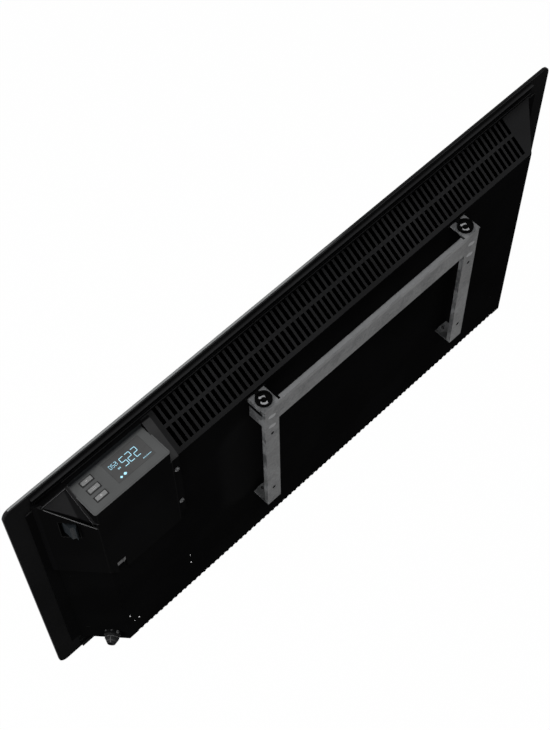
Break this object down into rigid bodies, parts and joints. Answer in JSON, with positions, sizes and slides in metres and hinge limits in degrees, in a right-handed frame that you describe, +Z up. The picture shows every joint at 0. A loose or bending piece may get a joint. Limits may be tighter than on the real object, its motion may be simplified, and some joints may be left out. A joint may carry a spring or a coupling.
{
  "type": "electric panel radiator",
  "caption": "Wall-hung electric panel radiator with a glass front, a slotted sheet-metal rear casing, a control box with display, buttons and power switch, and a hook-on wall bracket.",
  "frame": {"origin": "middle of the wall bracket's four screw holes, on the face that lies on the wall", "axes": "+X to the right as seen from the room, +Y into the wall, +Z up"},
  "size_m": [0.835, 0.076, 0.427],
  "materials": {
    "black_glass": "black-backed toughened glass, polished face, ground edges",
    "foam_tape": "black acrylic foam tape",
    "black_sheet": "fine-texture matt black powder coat",
    "bright_aluminium": "mill finish",
    "plated_steel": "bright zinc plate",
    "cream_insulator": "unglazed",
    "black_plastic": "fine-texture black moulding",
    "green_board": "solder-resist green",
    "brass_parts": "bright",
    "red_silicone": "silicone insulation",
    "grey_plastic": "dark grey satin moulding",
    "smoked_window": "smoked, satin",
    "light_grey_plastic": "mid grey satin",
    "slate_plastic": "slate, semi-gloss",
    "black_rubber": "matt",
    "galvanised_sheet": "hot-dip galvanised with grey spangle"
  },
  "bodies": {
    "heater": {"glass_front": "black_glass", "bond_tape": "foam_tape", "glass_rail_top": "black_sheet", "glass_rail_bottom": "black_sheet", "rear_casing": "black_sheet", "heat_shield": "bright_aluminium", "shield_spacers": "plated_steel", "heating_element": "bright_aluminium", "element_bushes": "cream_insulator", "element_brackets": "plated_steel", "thermal_cutout": "black_plastic", "cutout_strap": "plated_steel", "room_sensor": "cream_insulator", "power_board": "green_board", "power_board_spacers": "cream_insulator", "relay": "black_plastic", "heatsink": "bright_aluminium", "terminal_block": "cream_insulator", "earth_stud": "brass_parts", "element_leads": "red_silicone", "control_box_cover": "black_sheet", "cover_latch": "plated_steel", "cover_screws": "plated_steel", "control_panel": "grey_plastic", "display_window": "smoked_window", "display_module": "black_plastic", "control_board": "green_board", "board_screws": "plated_steel", "button_switches": "black_plastic", "switch_body": "black_plastic", "switch_terminals": "brass_parts", "gland_body": "black_plastic", "gland_seal": "black_rubber", "gland_cap": "black_plastic", "gland_locknut": "black_plastic", "wall_bracket": "galvanised_sheet"},
    "minus_key": {"button_minus": "light_grey_plastic"},
    "mode_key": {"button_mode": "light_grey_plastic"},
    "plus_key": {"button_plus": "light_grey_plastic"},
    "rocker": {"switch_rocker": "slate_plastic"},
    "left_lock": {"twist_lock_left": "black_plastic"},
    "right_lock": {"twist_lock_right": "black_plastic"}
  },
  "joints": [
    {"name": "minus_press", "type": "slide", "parent": "heater", "child": "minus_key", "axis": [0, 0, -1], "range_m": [0, 0.0007], "stiffness_N_per_m": 2000},
    {"name": "mode_press", "type": "slide", "parent": "heater", "child": "mode_key", "axis": [0, 0, -1], "range_m": [0, 0.0007], "stiffness_N_per_m": 2000},
    {"name": "plus_press", "type": "slide", "parent": "heater", "child": "plus_key", "axis": [0, 0, -1], "range_m": [0, 0.0007], "stiffness_N_per_m": 2000},
    {"name": "power_rock", "type": "hinge", "parent": "heater", "child": "rocker", "pos_m": [0.40947, -0.04725, 0.121], "axis": [0, 0, 1], "range_deg": [0, 18]},
    {"name": "left_lock_turn", "type": "hinge", "parent": "heater", "child": "left_lock", "pos_m": [-0.163, -0.0125, 0.1275], "axis": [0, 0, -1], "range_deg": [0, 90]},
    {"name": "right_lock_turn", "type": "hinge", "parent": "heater", "child": "right_lock", "pos_m": [0.163, -0.0125, 0.1275], "axis": [0, 0, 1], "range_deg": [0, 90]}
  ]
}
